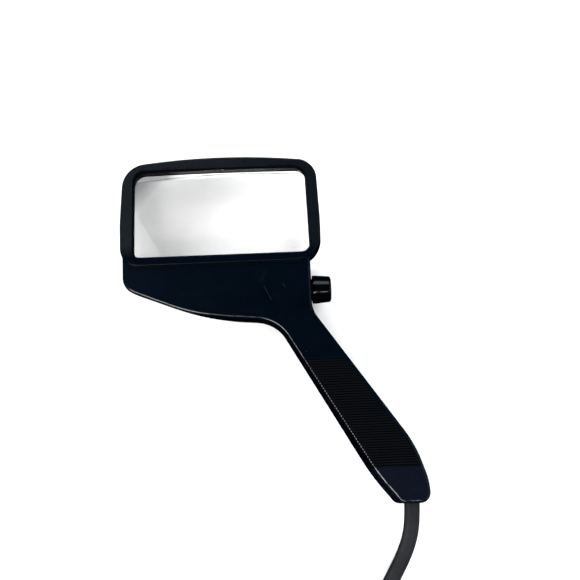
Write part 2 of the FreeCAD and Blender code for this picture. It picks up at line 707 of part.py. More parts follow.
# ---- lamp socket -----------------------------------------------------------------------
so = socket_d / 2
turned("lamp_socket", [(cap_x + 0.6, 6.7), (cap_x + 0.6, so), (cap_x + 20, so), (cap_x + 20, 0),
                       (cap_x + 16.6, 0), (cap_x + 16.6, 6.7)], 0, lamp_y, part_z)
turned("socket_thread_shell", [(cap_x + 2, cr + 0.1), (cap_x + 2, 6.6), (cap_x + 16.4, 6.6),
                               (cap_x + 16.4, cr + 0.1)], 0, lamp_y, part_z)
turned("socket_centre_contact", [(cap_x + 14.7, 0), (cap_x + 14.7, 2.2), (cap_x + 16.5, 2.2),
                                 (cap_x + 16.5, 0)], 0, lamp_y, part_z)
ho = cyl("saddle_outer", so + 0.8, 8.0, 10.0, lamp_y, part_z, ROT_X)
ft = box("saddle_foot", 8.0, socket_d + 1.6, 2.4, 10.0, lamp_y - so - 0.8, floor_t + 0.1)
hf = boolean("MultiFuse", "saddle_fuse", ho, [ft])
hi = cyl("saddle_bore", so + 0.05, 10.0, 9.0, lamp_y, part_z, ROT_X)
hc = boolean("Cut", "saddle_ring", hf, hi)
up = box("saddle_top", 10.0, 22.0, 12.0, 9.0, lamp_y - 11, part_z)
o = boolean("Cut", "socket_bracket", hc, up)
doc.recompute()
place(o)
keep(o, "socket_bracket")

# ---- rotary switch ---------------------------------------------------------------------
sr, br, ar = switch_d / 2, bush_d / 2, shaft_d / 2
sx0, sx1 = switch_x, wall_x - 2.6
turned("switch_body", [(sx0, sr - 1.5), (sx0, sr), (sx1, sr), (sx1, br - 1), (sx1 - 1.8, br - 1),
                       (sx1 - 1.8, sr - 1.5)], 0, knob_y, part_z)
disc = cyl("cover_disc", sr - 1.55, 1.6, sx0, knob_y, part_z, ROT_X)
n1 = box("cover_slot_a", 4.0, 0.6, 4.2, sx0 - 1, knob_y + 6.8, part_z - 2.1)
n2 = box("cover_slot_b", 4.0, 0.6, 4.2, sx0 - 1, knob_y - 7.4, part_z - 2.1)
nn = boolean("MultiFuse", "cover_slots", n1, [n2])
o = boolean("Cut", "switch_cover", disc, nn)
doc.recompute()
place(o)
keep(o, "switch_cover")
c1 = box("contact_a", 10.8, 0.4, 4.0, sx0 - 1.8, knob_y + 6.9, part_z - 2.0)
c2 = box("contact_b", 10.8, 0.4, 4.0, sx0 - 1.8, knob_y - 7.3, part_z - 2.0)
g = doc.addObject("Part::Compound", "switch_contacts")
g.Links = [c1, c2]
doc.recompute()
place(g)
keep(g, "switch_contacts")
turned("switch_bushing", [(sx1 - 3, ar + shaft_gap), (sx1 - 3, br + 1.2), (sx1 - 1.85, br + 1.2),
                          (sx1 - 1.85, br - 1.05), (sx1 + 0.05, br - 1.05), (sx1 + 0.05, br),
                          (wall_x + 3.2, br), (wall_x + 3.2, ar + shaft_gap)],
       0, knob_y, part_z)
turned("switch_washer", [(wall_x + 0.02, br + 0.05), (wall_x + 0.02, 6.1), (wall_x + 0.4, 6.1),
                         (wall_x + 0.4, br + 0.05)], 0, knob_y, part_z)
hx = doc.addObject("Part::Prism", "nut_hex")
hx.Polygon = 6
hx.Circumradius = 6.25
hx.Height = 2.0
put(hx, wall_x + 0.42, knob_y, part_z, ROT_X)
nb = cyl("nut_bore", br + 0.02, 4.0, wall_x - 0.6, knob_y, part_z, ROT_X)
o = boolean("Cut", "switch_nut", hx, nb)
doc.recompute()
place(o)
keep(o, "switch_nut")
kx = wall_x + knob_gap
turned("switch_shaft", [(sx0 + 3, 0), (sx0 + 3, ar), (kx + knob_len - 2.45, ar),
                        (kx + knob_len - 2.45, 0)], 0, knob_y, part_z)
turned("switch_rotor", [(sx0 + 4, ar + 0.02), (sx0 + 4, 6.2), (sx0 + 9, 6.2), (sx0 + 9, 4.2),
                        (sx0 + 12, 4.2), (sx0 + 12, ar + 0.02)], 0, knob_y, part_z)
b = new_body("knob_turned")
k = new_sketch(b, "knob_profile", "XZ_Plane")
draw_poly(k, [(kx, knob_rec / 2), (kx, knob_d / 2), (kx + 2.4, knob_d / 2),
              (kx + 4.2, knob_body / 2), (kx + knob_len, knob_tip / 2), (kx + knob_len, 0),
              (kx + knob_len - 2.4, 0), (kx + knob_len - 2.4, ar + 0.01),
              (kx + knob_rec_d, ar + 0.01), (kx + knob_rec_d, knob_rec / 2)])
rev = b.newObject("PartDesign::Revolution", "knob_turn")
rev.Profile = k
rev.ReferenceAxis = (k, ["H_Axis"])
rev.Angle = 360.0
doc.recompute()
f = dress(b, "Fillet", rev, ring_edges(rev.Shape, (kx + knob_len).v, knob_tip.v / 2), 1.5,
          "knob_tip_round")
f = dress(b, "Fillet", f, ring_edges(f.Shape, kx.v, knob_d.v / 2), 0.5, "knob_base_round")
f = dress(b, "Fillet", f, ring_edges(f.Shape, kx.v + 2.4, knob_d.v / 2), 1.2, "knob_collar_round")
f = dress(b, "Fillet", f, ring_edges(f.Shape, kx.v + 4.2, knob_body.v / 2), 1.4, "knob_neck")
put(b, 0, knob_y, part_z)
hole = cyl("knob_hole", 1.5, 8.0, kx + 6.4, knob_y, part_z - 9.0)
o = boolean("Cut", "control_knob", b, hole)
doc.recompute()
place(o)
keep(o, "control_knob")
o = cyl("knob_set_screw", 1.48, 4.2)
place(o, kx + 6.4, knob_y, part_z - ar - 4.22)
keep(o, "knob_set_screw")


# ---- cord clamp and the cord's end inside the handle ------------------------------------
def stadium(x, z, y):
    """The flat cord's section across Y."""
    hw2, ht = cord_w.v / 2 - cord_t.v / 2, cord_t.v / 2
    a, c = V(x - hw2, y, z - ht), V(x + hw2, y, z - ht)
    d, e = V(x + hw2, y, z + ht), V(x - hw2, y, z + ht)
    return Part.Wire([Part.LineSegment(a, c).toShape(),
                      Part.Arc(c, V(x + hw2 + ht, y, z), d).toShape(),
                      Part.LineSegment(d, e).toShape(),
                      Part.Arc(e, V(x - hw2 - ht, y, z), a).toShape()])


b = new_body("cord_inner_end")
k = new_sketch(b, "cord_end_outline", "XZ_Plane", -cord_y)
hw2, ht = cord_w.v / 2 - cord_t.v / 2, cord_t.v / 2
cx, cz = cord_x.v, part_z.v
draw(k, [(V(cx - hw2, cz - ht, 0), V(cx + hw2, cz - ht, 0)),
         (V(cx + hw2, cz - ht, 0), V(cx + hw2 + ht, cz, 0), V(cx + hw2, cz + ht, 0)),
         (V(cx + hw2, cz + ht, 0), V(cx - hw2, cz + ht, 0)),
         (V(cx - hw2, cz + ht, 0), V(cx - hw2 - ht, cz, 0), V(cx - hw2, cz - ht, 0))])
pad(b, k, 14.6, "cord_end_pad", reverse=True)
place(b)
keep(b, "cord_inner_end")
bar = box("clamp_bar", 15.4, 5.0, 1.4, 88.4, -155.1, part_z + cord_t / 2 + 0.05)
leg = box("clamp_leg", 1.2, 5.0, 6.6, 102.6, -155.1, part_z + cord_t / 2 + 1.45 - 6.6)
both = boolean("MultiFuse", "clamp_fuse", bar, [leg])
ch = cyl("clamp_hole", 1.2, 4.0, 90.9, -152.6, part_z + 1)
o = boolean("Cut", "cord_clamp", both, ch)
doc.recompute()
place(o)
keep(o, "cord_clamp")
screws("clamp_screw", [(90.9, -152.6)], part_z + cord_t / 2 + 2.95, 2.1, 1.45, 1.15, 9.0, up=False)


# ---- leads inside the housing ----------------------------------------------------------
def route(points, label):
    """Straight runs joined by tangent arcs, each as large as its two runs allow."""
    pts = [V(*p) for p in points]
    edges, cur, radii = [], pts[0], []
    for i in range(1, len(pts) - 1):
        a, b_, c = pts[i - 1], pts[i], pts[i + 1]
        p, q = (a - b_), (c - b_)
        run = min(p.Length, q.Length)
        p.normalize()
        q.normalize()
        half = p.getAngle(q) / 2.0
        t = 0.45 * run
        r = t * math.tan(half)
        radii.append(round(r, 1))
        m = (p + q)
        m.normalize()
        centre = b_ + m * (r / math.sin(half))
        s, e = b_ + p * t, b_ + q * t
        edges.append(Part.LineSegment(cur, s).toShape())
        edges.append(Part.Arc(s, centre - m * r, e).toShape())
        cur = e
    edges.append(Part.LineSegment(cur, pts[-1]).toShape())
    w = Part.Wire(edges)
    print(label, "length", round(w.Length, 1), "radii", radii)
    return w


def round_tube(path, r):
    e = path.OrderedEdges[0]
    start, t = e.valueAt(e.FirstParameter), e.tangentAt(e.FirstParameter)
    prof = Part.Wire([Part.Circle(start, t, r).toShape()])
    s = path.makePipeShell([prof], True, False)
    want = math.pi * r * r * path.Length
    if abs(s.Volume - want) > 0.02 * want:
        raise SystemExit("tube volume %.1f, expected %.1f" % (s.Volume, want))
    return s


wr = wire_d.v / 2
set_shape("lead_neutral", round_tube(route(
    [(96.4, -146.9, 13.0), (94.6, -138.0, 13.2), (82.6, -120.5, 13.4), (70.4, -103.0, 13.0),
     (57.6, -83.5, 12.0), (46.4, -67.0, 8.2), (37.0, -55.4, 4.8), (29.0, -52.6, 4.4),
     (25.4, -48.6, 5.0), (25.3, -43.6, 10.6)], "lead_neutral"), wr))
set_shape("lead_live", round_tube(route(
    [(99.4, -146.9, 13.0), (97.6, -137.0, 12.6), (86.2, -118.6, 12.2), (74.2, -101.4, 12.6),
     (61.4, -82.0, 13.2), (49.0, -64.6, 17.4), (38.4, -54.0, 20.4), (30.0, -52.3, 20.6),
     (25.7, -51.2, 19.6), (25.4, -50.9, 15.2)], "lead_live"), wr * 0.96))
set_shape("lead_switched", round_tube(route(
    [(25.3, -36.6, 15.3), (25.5, -36.5, 20.2), (25.4, -43.8, 20.4), (25.3, -44.2, 14.4)],
    "lead_switched"), wr * 0.9))

# ---- power cord: free stretch, coil, tail and plug --------------------------------------
# Corners of the cord's route, from the handle's end to the coil, from the lens centre.
CORD = [(98.0, -161.6, 13.0), (97.9, -171.5, 12.6), (96.3, -181.3, 10.5), (93.2, -190.5, 7.0),
        (88.6, -199.4, 4.1), (83.4, -208.6, 2.5), (79.2, -219.6, 2.1), (76.7, -232.4, 2.15),
        (76.0, -247.0, 2.1), (76.0, -262.0, 2.3)]
TAIL = (28.9, -334.1, 7.0)
TAIL_DIR = V(-0.9848, -0.1736, 0.0)


def flat_tube(path, section, area):
    mk = Part.BRepOffsetAPI.MakePipeShell(path)
    mk.setBiNormalMode(V(0, 0, 1))
    mk.add(section)
    mk.build()
    mk.makeSolid()
    s = mk.shape()
    want = area * path.Length
    print("flat tube volume", round(s.Volume), "expected", round(want))
    if abs(s.Volume - want) > 0.06 * want:
        raise SystemExit("flat tube volume is off")
    return s


area = (cord_w.v - cord_t.v) * cord_t.v + math.pi * (cord_t.v / 2) ** 2
cord_path = route(CORD, "power_cord")
tube = flat_tube(cord_path, stadium(98.0, 13.0, -161.6), area)
coil_r1 = coil_mid.v + coil_band.v / 2
coil_r0 = coil_mid.v - coil_band.v / 2
whole = Part.makeCylinder(coil_r1, 40, V(coil_x.v, coil_y.v, -10))
tube = tube.cut(whole)
tube = tube.Solids[0] if len(tube.Solids) == 1 else max(tube.Solids, key=lambda s: s.Volume)
set_shape("power_cord", tube)

co = cyl("coil_outer", coil_mid + coil_band / 2, coil_h, coil_x, coil_y, tie_t)
ci = cyl("coil_inner", coil_mid - coil_band / 2, 20.0, coil_x, coil_y, -5)
o = boolean("Cut", "power_cord_coil", co, ci)
doc.recompute()
place(o)
keep(o, "power_cord_coil")

# tie round the coil's turns, on the side away from the plug
bx = coil_band + 2 * tie_t + 0.8
to = box("tie_outer", bx, 9.0, coil_h + 2 * tie_t,
         coil_x + coil_mid - bx / 2, coil_y - 4.5, 0)
ti = box("tie_inner", bx - 2 * tie_t, 11.0, coil_h + 0.02, coil_x + coil_mid - bx / 2 + tie_t,
         coil_y - 5.5, tie_t - 0.01)
o = boolean("Cut", "cord_tie", to, ti)
doc.recompute()
place(o)
keep(o, "cord_tie")

ang = math.degrees(math.atan2(TAIL_DIR.y, TAIL_DIR.x))


def along(s, z=None):
    p = V(*TAIL) + TAIL_DIR * s
    if z is not None:
        p.z = z
    return p


def plug_frame(shape):
    """Move a shape drawn along +X from the origin to the plug's place and direction."""
    shape.rotate(V(0, 0, 0), V(0, 0, 1), ang)
    shape.translate(V(TAIL[0], TAIL[1], 0))
    return shape


def loft_sections(sections):
    """A ruled loft through rounded rectangles (x, width, thickness, corner radius) about z = 7."""
    wires = []
    for x, w2, t2, r2 in sections:
        y0, z0 = w2 / 2.0, t2 / 2.0
        pts = rounded([(-y0, -z0, r2), (y0, -z0, r2), (y0, z0, r2), (-y0, z0, r2)])
        es = []
        for sg in pts:
            vs = [V(x, p.x, p.y + 7.0) for p in sg]
            es.append((Part.LineSegment(*vs) if len(vs) == 2 else Part.Arc(*vs)).toShape())
        wires.append(Part.Wire(es))
    return Part.makeLoft(wires, True, True)


s0 = 47.0
tail_path = Part.Wire([Part.LineSegment(V(20.0, 0, 7.0), V(s0, 0, 7.0)).toShape()])
sec = loft_sections([(20.0, cord_w.v, cord_t.v, cord_t.v / 2 - 0.01),
                     (s0, cord_w.v, cord_t.v, cord_t.v / 2 - 0.01)])
tail = plug_frame(sec).cut(whole)
set_shape("power_cord_tail", max(tail.Solids, key=lambda s: s.Volume))
body = loft_sections([(s0, 10.0, 6.0, 2.6), (s0 + 9, 12.5, 8.0, 3.4), (s0 + 13, 20.0, 11.0, 4.4),
                      (s0 + 17, 23.5, 13.0, 5.0), (s0 + 30, 25.0, 14.0, 5.0),
                      (s0 + 32.5, 24.0, 13.0, 4.6)])
TURN = FreeCAD.Rotation(V(0, 0, 1), ang)
set_shape("plug_body", body, TAIL[0], TAIL[1], TURN)
blades = []
for side in (-6.35, 6.35):
    bl = Part.makeBox(17.0, 1.5, 6.35, V(s0 + 32.5, side - 0.75, 7.0 - 3.175))
    hole_ = Part.makeCylinder(1.6, 4.0, V(s0 + 32.5 + 13.5, side - 2, 7.0), V(0, 1, 0))
    tips = [e for e in bl.Edges if abs(e.BoundBox.XMin - (s0 + 49.5)) < 1e-3
            and e.BoundBox.YLength > 1.0 and e.BoundBox.ZLength < 1e-3]
    bl = bl.makeFillet(1.4, tips).cut(hole_)
    blades.append(bl)
set_shape("plug_blades", Part.makeCompound(blades), TAIL[0], TAIL[1], TURN)

# ---- checks, then one file per sub-part -------------------------------------------------
doc.recompute()
bad = [o.Name + ":" + ",".join(o.State) for o in doc.Objects
       if "Invalid" in o.State or "Error" in o.State]
for name, obj in parts:
    sh = obj.Shape
    if sh.isNull() or not sh.isValid() or not sh.Solids:
        bad.append(name + ": shape")
    print("%-22s solids %d volume %9.1f  x %7.1f %7.1f  y %7.1f %7.1f  z %6.2f %6.2f" % (
        name, len(sh.Solids), sh.Volume, sh.BoundBox.XMin, sh.BoundBox.XMax, sh.BoundBox.YMin,
        sh.BoundBox.YMax, sh.BoundBox.ZMin, sh.BoundBox.ZMax))
if bad:
    raise SystemExit("not built: " + "; ".join(bad))
for name, obj in parts:
    obj.Shape.exportStep("parts/%s.step" % name)
print(len(parts), "nodes")
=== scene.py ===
import json
import math
import bmesh
import bpy
from mathutils import Matrix, Vector


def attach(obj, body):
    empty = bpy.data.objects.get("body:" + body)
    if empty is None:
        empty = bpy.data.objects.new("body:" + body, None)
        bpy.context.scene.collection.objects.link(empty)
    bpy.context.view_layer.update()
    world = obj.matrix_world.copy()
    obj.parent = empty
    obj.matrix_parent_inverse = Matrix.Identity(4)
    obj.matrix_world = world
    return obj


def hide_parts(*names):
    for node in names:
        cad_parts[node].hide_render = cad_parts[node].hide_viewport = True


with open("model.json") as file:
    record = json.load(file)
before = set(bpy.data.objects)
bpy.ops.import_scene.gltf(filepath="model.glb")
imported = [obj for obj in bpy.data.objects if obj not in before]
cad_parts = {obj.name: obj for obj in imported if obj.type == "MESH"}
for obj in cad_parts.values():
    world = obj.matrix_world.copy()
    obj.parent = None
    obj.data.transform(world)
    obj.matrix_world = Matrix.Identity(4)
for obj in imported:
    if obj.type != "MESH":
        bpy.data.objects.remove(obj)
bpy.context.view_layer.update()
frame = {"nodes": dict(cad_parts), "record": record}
NODES = frame["nodes"]
scene = bpy.context.scene

# The lens centre, and places given from it, in millimetres.
LX, LY = -25.93, 65.47


def P(x, y, z):
    """A point given in millimetres from the lens centre, in metres in the row frame."""
    return Vector(((x + LX) * 0.001, (y + LY) * 0.001, z * 0.001))


# ------------------------------------------------------------------ camera
cam_data = bpy.data.cameras.new("camera")
cam_data.sensor_fit = "HORIZONTAL"
cam_data.sensor_width = 36.0
cam_data.lens = 50.462
cam_data.clip_start = 0.01
cam_data.clip_end = 50.0
cam = bpy.data.objects.new("camera", cam_data)
scene.collection.objects.link(cam)
right = Vector((0.99919, -0.04013, 0.0)).normalized()
up = Vector((0.03974, 0.98947, 0.13917))
up = (up - right * up.dot(right)).normalized()
back = right.cross(up)
rot = Matrix((right, up, back)).transposed().to_4x4()
cam.matrix_world = Matrix.Translation(P(34.5, -106.45, 462.6)) @ rot
scene.camera = cam


# ------------------------------------------------------------------ small helpers
def link(name, mesh, smooth=True):
    ob = bpy.data.objects.new(name, mesh)
    scene.collection.objects.link(ob)
    if smooth:
        for p in mesh.polygons:
            p.use_smooth = True
    return ob


def make_mesh(name, verts, faces, sharp=None):
    me = bpy.data.meshes.new(name)
    me.from_pydata([tuple(v) for v in verts], [], faces)
    me.validate()
    me.update()
    bm = bmesh.new()
    bm.from_mesh(me)
    bmesh.ops.recalc_face_normals(bm, faces=bm.faces)
    bm.to_mesh(me)
    bm.free()
    for p in me.polygons:
        p.use_smooth = True
    if sharp is not None:
        me.set_sharp_from_angle(angle=math.radians(sharp))
    return me


def curve_points(name, points, resolution=8):
    """The smooth line of a route: points read from its NURBS spline with no bevel."""
    cu = bpy.data.curves.new(name, "CURVE")
    cu.dimensions = "3D"
    sp = cu.splines.new("NURBS")
    sp.points.add(len(points) - 1)
    for p, q in zip(sp.points, points):
        p.co = (q[0], q[1], q[2], 1.0)
    sp.order_u = 3
    sp.use_endpoint_u = True
    sp.resolution_u = resolution
    cu.resolution_u = resolution
    ob = bpy.data.objects.new(name, cu)
    scene.collection.objects.link(ob)
    bpy.context.view_layer.update()
    me = bpy.data.meshes.new_from_object(ob)
    pts = [v.co.copy() for v in me.vertices]
    bpy.data.objects.remove(ob)
    bpy.data.meshes.remove(me)
    bpy.data.curves.remove(cu)
    return pts


def sweep(name, pts, section, cap=True):
    """A tube whose flat section (across, thick) follows pts, lying flat."""
    n = len(section)
    verts, faces = [], []
    side = None
    for i, p in enumerate(pts):
        a = pts[max(i - 1, 0)]
        b = pts[min(i + 1, len(pts) - 1)]
        t = (b - a).normalized()
        s = t.cross(Vector((0, 0, 1)))
        if s.length > 1e-3:
            side = s.normalized()
        w = (side - t * side.dot(t)).normalized()
        h = w.cross(t).normalized()
        for x, y in section:
            verts.append(p + w * x + h * y)
    for i in range(len(pts) - 1):
        for j in range(n):
            k = (j + 1) % n
            faces.append((i * n + j, i * n + k, (i + 1) * n + k, (i + 1) * n + j))
    if cap:
        faces.append(tuple(range(n - 1, -1, -1)))
        last = (len(pts) - 1) * n
        faces.append(tuple(range(last, last + n)))
    return make_mesh(name, verts, faces, sharp=60)


# ------------------------------------------------------------------ the mains cord
# Route from the housing, then a neat round coil of two layers, then the plug.
ROUTE = [
    P(98.0, -161.6, 13.00), P(97.6, -171.5, 12.60), P(95.7, -181.3, 10.50),
    P(92.4, -190.5, 7.00), P(87.9, -199.4, 4.10), P(82.9, -208.6, 2.50),
    P(79.2, -219.6, 2.15), P(76.7, -232.4, 2.15), P(76.0, -247.0, 2.15),
    P(76.0, -262.0, 2.35),
]
CX, CY = P(19.0, -278.0, 0).xy
STEP = 20.0
controls = [Vector(p) for p in ROUTE]
turn = STEP / 2
while turn < 1880.0:
    if turn < 900.0:
        radius = 0.057 - 0.021 * turn / 900.0
        height = 0.0024
    elif turn < 980.0:
        f = (turn - 900.0) / 80.0
        radius = 0.036
        height = 0.0024 + 0.0044 * (3 * f * f - 2 * f * f * f)
    else:
        radius = 0.036 + 0.021 * (turn - 980.0) / 900.0
        height = 0.0068
    phi = math.radians(-turn)
    near_tie = math.exp(-((((turn + 180.0) % 360.0) - 180.0) / 24.0) ** 2)
    rr = radius / math.cos(math.radians(STEP / 2))
    controls.append(Vector((CX + rr * math.cos(phi), CY + rr * math.sin(phi),
                            height + 0.0003 * near_tie)))
    turn += STEP
PLUG_AT = P(-17.39, -342.26, 7.0)
PLUG_DIR = Vector((-0.9848, -0.1736, 0.0)).normalized()
controls.append(PLUG_AT - PLUG_DIR * 0.022)
controls.append(PLUG_AT + PLUG_DIR * 0.0012)
line = curve_points("cord_route", controls, 8)

W2, T2 = 0.0042, 0.0021


def flat_section():
    """Flat two-core cord: rounded edges, and a shallow groove inside each edge."""
    pts = []
    top = [(-0.0030, 0.00205), (-0.00272, 0.00188), (-0.00245, 0.00204), (-0.0015, 0.0021),
           (0.0, 0.0021), (0.0015, 0.0021), (0.00245, 0.00204), (0.00272, 0.00188),
           (0.0030, 0.00205)]
    edge = []
    for k in range(1, 8):
        a = math.radians(78 - 156 * k / 8)
        edge.append((0.0027 + 0.0015 * math.cos(a), 0.0021 * math.sin(a)))
    pts += top
    pts += [(min(x, W2), y) for x, y in edge]
    pts += [(x, -y) for x, y in reversed(top)]
    pts += [(-min(x, W2), y) for x, y in reversed(edge)]
    return pts


cord_mesh = sweep("mains_cord", line, flat_section())
cord = link("mains_cord", cord_mesh)
length = sum((b - a).length for a, b in zip(line, line[1:]))
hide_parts("power_cord", "power_cord_coil", "power_cord_tail")
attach(cord, "housing")
print("cord line", round(length, 4))


# ------------------------------------------------------------------ materials
def node(tree, kind, x=0, y=0, **props):
    n = tree.nodes.new(kind)
    n.location = (x, y)
    for k, v in props.items():
        setattr(n, k, v)
    return n


class Mat:
    """A node material with helpers; textures use the object's own coordinates, in metres."""

    def __init__(self, name):
        self.m = bpy.data.materials.new(name)
        self.m.use_nodes = True
        self.t = self.m.node_tree
        self.t.nodes.clear()
        self.out = node(self.t, "ShaderNodeOutputMaterial", 700, 0)
        self.s = node(self.t, "ShaderNodeBsdfPrincipled", 400, 0)
        self.t.links.new(self.s.outputs[0], self.out.inputs[0])
        self.coord = node(self.t, "ShaderNodeTexCoord", -900, 0).outputs["Object"]

    def link(self, a, b):
        self.t.links.new(a, b)

    def mapped(self, scale=(1, 1, 1), rot=(0, 0, 0)):
        n = node(self.t, "ShaderNodeMapping", -700, 0)
        n.inputs["Scale"].default_value = scale
        n.inputs["Rotation"].default_value = rot
        self.link(self.coord, n.inputs["Vector"])
        return n.outputs[0]

    def noise(self, scale, detail=3.0, rough=0.5, vec=None, distortion=0.0):
        n = node(self.t, "ShaderNodeTexNoise", -500, 0)
        n.inputs["Scale"].default_value = scale
        n.inputs["Detail"].default_value = detail
        n.inputs["Roughness"].default_value = rough
        n.inputs["Distortion"].default_value = distortion
        self.link(vec if vec is not None else self.coord, n.inputs["Vector"])
        return n.outputs[0]

    def span(self, value, a, b, lo, hi):
        n = node(self.t, "ShaderNodeMapRange", -200, 0)
        n.clamp = True
        n.inputs["From Min"].default_value = a
        n.inputs["From Max"].default_value = b
        n.inputs["To Min"].default_value = lo
        n.inputs["To Max"].default_value = hi
        self.link(value, n.inputs["Value"])
        return n.outputs[0]

    def math(self, op, a, b):
        n = node(self.t, "ShaderNodeMath", -100, 0, operation=op)
        for i, v in enumerate((a, b)):
            if isinstance(v, (int, float)):
                n.inputs[i].default_value = v
            else:
                self.link(v, n.inputs[i])
        return n.outputs[0]

    def ramp(self, value, stops):
        n = node(self.t, "ShaderNodeValToRGB", -100, 0)
        els = n.color_ramp.elements
        while len(els) < len(stops):
            els.new(0.5)
        for e, (p, c) in zip(els, stops):
            e.position = p
            e.color = (c[0], c[1], c[2], 1.0)
        self.link(value, n.inputs[0])
        return n.outputs[0]

    def mix(self, factor, a, b):
        n = node(self.t, "ShaderNodeMix", 0, 0, data_type="RGBA")
        self.link(factor, n.inputs[0])
        for i, v in ((6, a), (7, b)):
            if isinstance(v, (tuple, list)):
                n.inputs[i].default_value = (v[0], v[1], v[2], 1.0)
            else:
                self.link(v, n.inputs[i])
        return n.outputs[2]

    def scaled(self, colour, factor):
        n = node(self.t, "ShaderNodeMix", 0, 100, data_type="RGBA", blend_type="MULTIPLY")
        n.inputs[0].default_value = 1.0
        self.link(colour, n.inputs[6])
        self.link(factor, n.inputs[7])
        return n.outputs[2]

    def bump(self, height, distance, strength=1.0, after=None):
        n = node(self.t, "ShaderNodeBump", 200, -300)
        n.inputs["Strength"].default_value = strength
        n.inputs["Distance"].default_value = distance
        self.link(height, n.inputs["Height"])
        if after is not None:
            self.link(after, n.inputs["Normal"])
        self.link(n.outputs[0], self.s.inputs["Normal"])
        return n.outputs[0]

    def axes(self):
        """X, Y, Z of the surface point in millimetres from the lens centre."""
        sep = node(self.t, "ShaderNodeSeparateXYZ", -800, 300)
        self.link(self.coord, sep.inputs[0])
        out = []
        for value, shift in zip(sep.outputs, (LX, LY, 0.0)):
            out.append(self.math("SUBTRACT", self.math("MULTIPLY", value, 1000.0), shift))
        return out

    def inside(self, value, lo, hi, soft=0.2):
        """1 where lo < value < hi, 0 outside, with soft edges; either side may be None."""
        parts = []
        if lo is not None:
            parts.append(self.span(value, lo - soft / 2, lo + soft / 2, 0.0, 1.0))
        if hi is not None:
            parts.append(self.span(value, hi - soft / 2, hi + soft / 2, 1.0, 0.0))
        out = parts[0]
        for q in parts[1:]:
            out = self.math("MULTIPLY", out, q)
        return out

    def set(self, **kw):
        for k, v in kw.items():
            self.s.inputs[k.replace("_", " ")].default_value = v
        return self


def scratches(m, scale, angle, thin, seed):
    """Fine straight marks: thin bands of a stretched noise."""
    v = m.mapped((1, 1, 1), (0, 0, math.radians(angle)))
    v2 = node(m.t, "ShaderNodeMapping", -600, -200)
    v2.inputs["Scale"].default_value = (scale, scale * 0.045, scale)
    v2.inputs["Location"].default_value = (seed, seed * 0.7, 0.3 * seed)
    m.link(v, v2.inputs["Vector"])
    n = m.noise(1.0, 2.0, 0.45, v2.outputs[0])
    d = m.math("ABSOLUTE", m.math("SUBTRACT", n, 0.5), 0.0)
    return m.span(d, 0.0, thin, 1.0, 0.0)


# Scratches on the chin: both ends in mm from the lens centre, half width, strength.
MARKS = [(22.9, -42.4, 26.8, -50.2, 0.11, 0.9), (33.1, -41.3, 34.4, -43.3, 0.12, 0.9),
         (29.9, -46.4, 31.2, -51.0, 0.07, 0.35), (26.8, -50.2, 28.8, -45.4, 0.07, 0.3)]


def segment(m, x, y, x0, y0, x1, y1, w):
    """1 on the straight scratch from (x0, y0) to (x1, y1), 0 away from it."""
    length = math.hypot(x1 - x0, y1 - y0)
    ux, uy = (x1 - x0) / length, (y1 - y0) / length
    dx, dy = m.math("SUBTRACT", x, x0), m.math("SUBTRACT", y, y0)
    along = m.math("ADD", m.math("MULTIPLY", dx, ux), m.math("MULTIPLY", dy, uy))
    off = m.math("ABSOLUTE", m.math("SUBTRACT", m.math("MULTIPLY", dx, -uy),
                                    m.math("MULTIPLY", dy, -ux)), 0.0)
    return m.math("MULTIPLY", m.inside(along, 0.0, length, 0.8), m.span(off, w * 0.4, w, 1.0, 0.0))


def moulded(name, base, lighter, rough=(0.3, 0.42), grain=0.000012, marks=0.0, specular=0.5,
            grain_scale=2600.0, kind=None):
    """Moulded black plastic: slight tone change, fine grain, dust and hairline scratches; a kind adds
    painted light and shade by place.
    """
    m = Mat(name)
    big = m.noise(22.0, 4.0, 0.55)
    colour = m.ramp(big, [(0.32, base), (0.72, lighter)])
    r = m.span(m.noise(140.0, 5.0, 0.6), 0.3, 0.75, rough[0], rough[1])
    fine = m.noise(grain_scale, 3.0, 0.6)
    if marks > 0:
        a = scratches(m, 420.0, 38.0, 0.010, 3.1)
        b = scratches(m, 300.0, -52.0, 0.007, 8.7)
        spots = m.span(m.noise(55.0, 2.0, 0.5), 0.60, 0.70, 0.0, 0.45)
        both = m.math("MULTIPLY", m.math("MAXIMUM", a, b), spots)
        dust = m.span(m.noise(900.0, 1.0, 0.4), 0.80, 0.84, 0.0, 0.7)
        both = m.math("MAXIMUM", both, dust)
        px, py, _ = m.axes()
        for x0, y0, x1, y1, w, v in MARKS:
            both = m.math("MAXIMUM", both, m.math("MULTIPLY", segment(m, px, py, x0, y0, x1, y1, w), v))
        both = m.math("MULTIPLY", both, marks)
        colour = m.mix(both, colour, tuple(min(1.0, c * 3 + 0.012) for c in lighter))
        r = m.math("ADD", r, m.math("MULTIPLY", both, 0.18))
        h = m.math("SUBTRACT", fine, m.math("MULTIPLY", both, 0.8))
    else:
        h = fine
    # Painted light and shade by place, from zones().
    if kind is not None:
        colour = zones(m, colour, kind)
    m.link(colour, m.s.inputs["Base Color"])
    m.link(r, m.s.inputs["Roughness"])
    m.bump(h, grain, 1.0)
    m.set(Specular_IOR_Level=specular)
    return m.m


def metal(name, colour, dark, rough=(0.22, 0.4), brush=True):
    m = Mat(name)
    v = m.mapped((40.0, 900.0, 40.0)) if brush else None
    n = m.noise(1.0 if brush else 260.0, 4.0, 0.6, v)
    m.link(m.ramp(n, [(0.3, dark), (0.7, colour)]), m.s.inputs["Base Color"])
    m.link(m.span(m.noise(180.0, 4.0), 0.3, 0.7, rough[0], rough[1]), m.s.inputs["Roughness"])
    m.bump(n, 0.00001, 0.6)
    m.set(Metallic=1.0)
    return m.m


